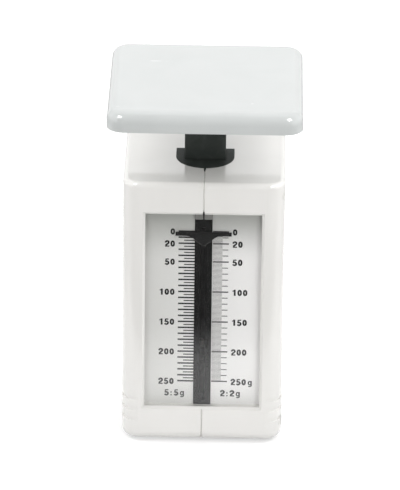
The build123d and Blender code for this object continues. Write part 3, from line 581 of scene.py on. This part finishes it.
# What the ticks of each side are worth, and where that label starts
worth_labels = {"5:5g": -21.1 * mm, "2:2g": 10.4 * mm}
worth_foot = 26.0 * mm
worth_spread = 0.10
# One stroke after another lies at one of three heights, so that no faces share a plane where strokes cross
stroke_lift = 0.001 * mm
stroke_lifts = 3
# At a sharp turn, a stroke is widened by no more than 1 over this
sharpest_turn = 0.6


def ribbon(whole, points, closed, width, corner, front):
    """A flat raised stroke of even width along the points, from the plate to front."""
    back = ink_middle + ink_height / 2
    count = len(points)
    rims = []
    for place, (x, z) in enumerate(points):
        before = points[(place - 1) % count] if closed or place else points[place]
        after = points[(place + 1) % count] if closed or place < count - 1 else points[place]
        along_in = Vector((x - before[0], z - before[1]))
        along_out = Vector((after[0] - x, after[1] - z))
        along = (along_in.normalized() + along_out.normalized()).normalized()
        straight = along_out if along_out.length > 0 else along_in
        lean = max(sharpest_turn, abs(along.dot(straight.normalized())))
        side = Vector((-along.y, along.x)) * (width / 2 / lean)
        rim = []
        for way in (side, -side):
            for depth in (back, front):
                across = corner[0] + (x + way.x) * figure_height
                up = corner[1] + (z + way.y) * figure_height
                rim.append(whole.verts.new((across, depth, up)))
        rims.append(rim)
    spans = count if closed else count - 1
    for place in range(spans):
        here, there = rims[place], rims[(place + 1) % count]
        for first, second in ((0, 1), (1, 3), (3, 2), (2, 0)):
            whole.faces.new((here[first], here[second], there[second], there[first]))
    if not closed:
        for rim, order in ((rims[0], (0, 2, 3, 1)), (rims[-1], (0, 1, 3, 2))):
            whole.faces.new([rim[place] for place in order])


def figure_mesh(words, foot, start=None, end=None, spread=0.0):
    """Bold figures as a thin raised print that faces the front. They run from start or up to end, and stand
    spread wider apart than usual."""
    whole = bmesh.new()
    if start is None:
        reach = sum(sign_steps[sign] + spread for sign in words[:-1]) + sign_widths[words[-1]]
        start = end - reach * figure_height
    x = start
    layer = 0
    for sign in words:
        for points, closed, width in signs[sign]:
            front = ink_middle - ink_height / 2 - stroke_lift * (layer % stroke_lifts)
            ribbon(whole, points, closed, width, (x, foot), front)
            layer += 1
        x += (sign_steps[sign] + spread) * figure_height
    bmesh.ops.recalc_face_normals(whole, faces=whole.faces)
    return mesh_of(whole, "figures")


def printed(name, meshes):
    """One piece of the print from several meshes."""
    whole = bmesh.new()
    for mesh in meshes:
        whole.from_mesh(mesh)
        bpy.data.meshes.remove(mesh)
    piece = link_new(name, mesh_of(whole, name))
    piece.data.materials.append(ink)
    return ride_as(piece, "housing")


figures = []
for load in labelled:
    foot = mark_height(load) - figure_height / 2 - figure_drop
    figures.append(figure_mesh(str(load), foot, end=left_figures_end))
    words = f"{load} g" if load == full_load else str(load)
    figures.append(figure_mesh(words, foot, start=right_figures_start))
for words, start in worth_labels.items():
    figures.append(figure_mesh(words, worth_foot, start=start, spread=worth_spread))
printed("scale_figures", figures)

labelled_length = 8.9 * mm
labelled_line = 0.74 * mm
labelled_ink_height = 1.2 * ink_height
labelled_middle = right_inner * mm + labelled_length / 2
labelled_size = Matrix.Diagonal((labelled_length, labelled_ink_height, labelled_line, 1))
long_marks = []
for load in labelled:
    mark = bmesh.new()
    spot = Matrix.Translation((labelled_middle, ink_middle, mark_height(load)))
    bmesh.ops.create_cube(mark, size=1.0, matrix=spot @ labelled_size)
    long_marks.append(mesh_of(mark, "mark"))
printed("marks_labelled", long_marks)


# Floor, dark card and world

def plainly_seen(board):
    """1 for what the camera sees, also by way of metal and glass, and 0 for light that falls on a piece."""
    path = board.node("ShaderNodeLightPath", take="Is Camera Ray")
    by_way = board.maths("MAXIMUM", path.other("Is Glossy Ray"), path.other("Is Transmission Ray"))
    return board.maths("MAXIMUM", path, by_way)


def glowing_white(name, tint, near_glow, far_glow):
    """A diffuse white that keeps shadows, and that glows more where it is far from the lamps."""
    mix = Finish(name)
    near, far = 0.3, 0.9
    away = mix.node("ShaderNodeVectorMath", {"operation": "LENGTH"}, {0: mix.place}, take="Value")
    own = mix.between(near_glow, far_glow, mix.steep(away, near, far)) * plainly_seen(mix)
    glow = mix.node("ShaderNodeCombineColor", None, {"Red": own, "Green": own, "Blue": own})
    return mix.done(mix.shade(
        Base_Color=colour(*tint), Roughness=1.0, Specular_IOR_Level=0.0, Emission_Color=glow,
        Emission_Strength=1.0))


def white_floor():
    """A plain pale floor that the scale stands on."""
    reach = 3.0
    mesh = bpy.data.meshes.new("floor")
    corners = [(-reach, -reach, 0), (reach, -reach, 0), (reach, reach, 0), (-reach, reach, 0)]
    mesh.from_pydata(corners, [], [(0, 1, 2, 3)])
    mesh.materials.append(glowing_white("floor_white", (0.60, 0.60, 0.60), near_glow=0.45, far_glow=0.95))
    floor = link_new("floor", mesh)


def dark_room():
    """A card that only polished surfaces see, for the dark side of the room. It lies on the floor in front,
    stands up far from the scale and comes back overhead. A fainter strip lies on the floor at each side."""
    near, far, tall, back, half_width = -0.172, -2.4, 2.2, 0.25, 2.4
    card_height, clear_lap = 0.002, 0.06
    fade_from, fade_to = -near - 0.05, -near + 0.03
    strip_inner, strip_back, strip_height = 0.14, 1.2, 0.003
    strip_fade, strip_dark = 0.16, 0.55
    profile = [(near + clear_lap, card_height), (far, card_height), (far, tall), (back, tall)]
    corners = [(side, y, z) for y, z in profile for side in (-half_width, half_width)]
    strip = ((strip_inner, near), (half_width, near), (half_width, strip_back), (strip_inner, strip_back))
    for side in (-1, 1):
        for across, y in strip:
            corners.append((side * across, y, strip_height))
    mesh = bpy.data.meshes.new("dark_room")
    sides = [(0, 1, 3, 2), (2, 3, 5, 4), (4, 5, 7, 6), (8, 9, 10, 11), (12, 13, 14, 15)]
    mesh.from_pydata(corners, [], sides)
    mix = Finish("room_dark")
    in_front = mix.steep(mix.coordinate("Y") * -1, fade_from, fade_to)
    at_side = mix.steep(mix.aside(), strip_inner, strip_inner + strip_fade) * strip_dark
    solid = mix.maths("MAXIMUM", in_front, at_side)
    clear = mix.node("ShaderNodeBsdfTransparent")
    black = mix.shade(Base_Color=colour(0.03, 0.03, 0.03), Roughness=0.9)
    mesh.materials.append(mix.done(mix.node("ShaderNodeMixShader", None, {0: solid, 1: clear, 2: black})))
    card = link_new("dark_room", mesh)
    card.visible_camera = False
    card.visible_diffuse = False
    card.visible_shadow = False
    card.visible_transmission = False


def studio_world():
    """A world that is seen as white and lights the object faintly."""
    light = 0.06
    world = bpy.data.worlds.new("studio")
    bpy.context.scene.world = world
    world.use_nodes = True
    sky = Board(world.node_tree)
    sky.tree.nodes.clear()
    shown = sky.node("ShaderNodeBackground", None, {
        "Color": colour(1, 1, 1), "Strength": plainly_seen(sky) * (1 - light) + light})
    sky.node("ShaderNodeOutputWorld", None, {"Surface": shown})


white_floor()
dark_room()
studio_world()


# Lamps

def soft_box(name, swing, rise, light, distance=0.7, size=0.34, mirrored=False):
    """A square lamp that looks at the middle of the scale, swing degrees round from the front and rise
    degrees up. A white card there that faced it would look as bright as light says, where 1 is white.
    A mirrored lamp only shows in what is polished, and the others don't show in it."""
    round_front, up = radians(swing), radians(rise)
    toward = Vector((sin(round_front) * cos(up), -cos(round_front) * cos(up), sin(up)))
    lamp = bpy.data.lights.new(name, "AREA")
    lamp.size = size
    lamp.energy = light * pi * pi * distance * distance
    holder = link_new(name, lamp)
    holder.visible_glossy = mirrored
    holder.visible_diffuse = not mirrored
    middle = Vector((0, 0, 0.12))
    holder.location = middle + toward * distance
    holder.rotation_euler = (middle - holder.location).to_track_quat("-Z", "Y").to_euler()


soft_box("low_left", swing=-22, rise=14, light=0.20)
soft_box("low_right", swing=22, rise=14, light=0.29)
soft_box("front_right", swing=22, rise=45, light=0.15)
soft_box("high_left", swing=-90, rise=50, light=0.37)
soft_box("high_right", swing=90, rise=50, light=0.39)
soft_box("side_left", swing=-105, rise=22, light=0.33)
soft_box("side_right", swing=105, rise=22, light=0.26)
soft_box("behind", swing=180, rise=20, light=0.62)
soft_box("upper_left", swing=-46, rise=50, light=0.10, distance=0.8)
soft_box("upper_right", swing=43, rise=50, light=0.10, distance=0.8)
soft_box("catch_left", swing=-44, rise=50, light=0.42, distance=0.8, size=0.26, mirrored=True)
soft_box("catch_right", swing=39, rise=50, light=0.50, distance=0.76, size=0.28, mirrored=True)


# Camera

def photograph_camera():
    """The camera of the photograph: high in front of the scale, far off, with a long lens."""
    tilt, swing, lean = radians(24.317), radians(-0.730), radians(0.688)
    looked_at = Vector((-1.888, -42.0, 122.214)) * mm
    distance = 2618 * mm
    ahead = Vector((sin(swing) * cos(tilt), cos(swing) * cos(tilt), -sin(tilt)))
    level_right = Vector((cos(swing), -sin(swing), 0))
    level_down = ahead.cross(level_right)
    right = cos(lean) * level_right - sin(lean) * level_down
    down = sin(lean) * level_right + cos(lean) * level_down
    data = bpy.data.cameras.new("camera")
    data.sensor_fit = "HORIZONTAL"
    data.sensor_width = 36.0
    data.lens = 425.07
    data.clip_end = 50
    camera = link_new("camera", data)
    turned = Matrix((right, -down, -ahead)).transposed().to_4x4()
    camera.matrix_world = Matrix.Translation(looked_at - ahead * distance) @ turned
    bpy.context.scene.camera = camera


photograph_camera()
bpy.context.scene.view_settings.view_transform = "Standard"
